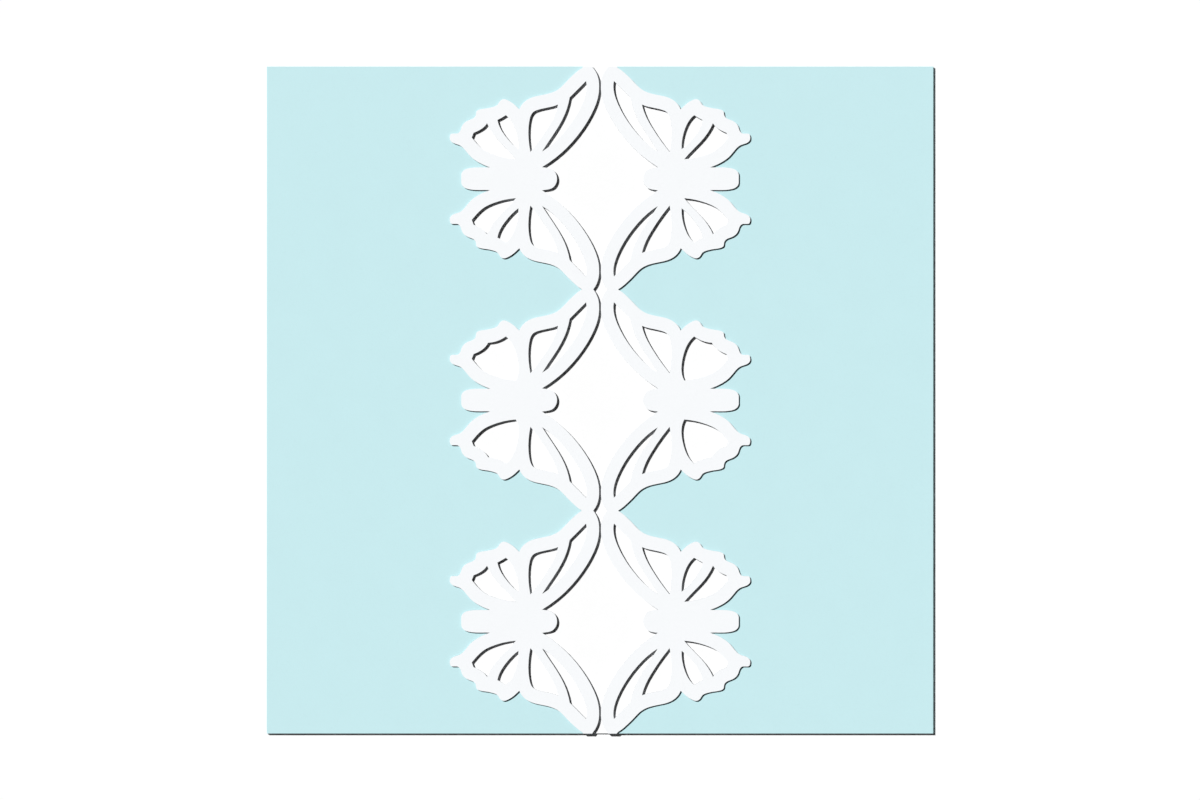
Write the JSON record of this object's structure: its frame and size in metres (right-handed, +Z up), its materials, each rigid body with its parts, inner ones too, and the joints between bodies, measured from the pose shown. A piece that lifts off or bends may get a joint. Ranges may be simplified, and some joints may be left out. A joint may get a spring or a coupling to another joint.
{
  "type": "gatefold card",
  "caption": "Square gatefold greeting card, closed: a folded two-tone sheet whose flaps meet along a die-cut edge of butterflies with white openwork trims",
  "frame": {"origin": "middle of the underside of the back panel, on the surface that the card lies on", "axes": "+Z up out of the front of the closed card, +X to the right across the two folds, +Y to the head of the card"},
  "size_m": [0.1524, 0.1524, 0.0011],
  "materials": {
    "blue_card": "matt card, pale blue outside and white inside",
    "white_card": "smooth matt white card"
  },
  "bodies": {
    "root": {"card_base": "blue_card", "left_butterfly_trim": "white_card", "right_butterfly_trim": "white_card"}
  },
  "joints": []
}
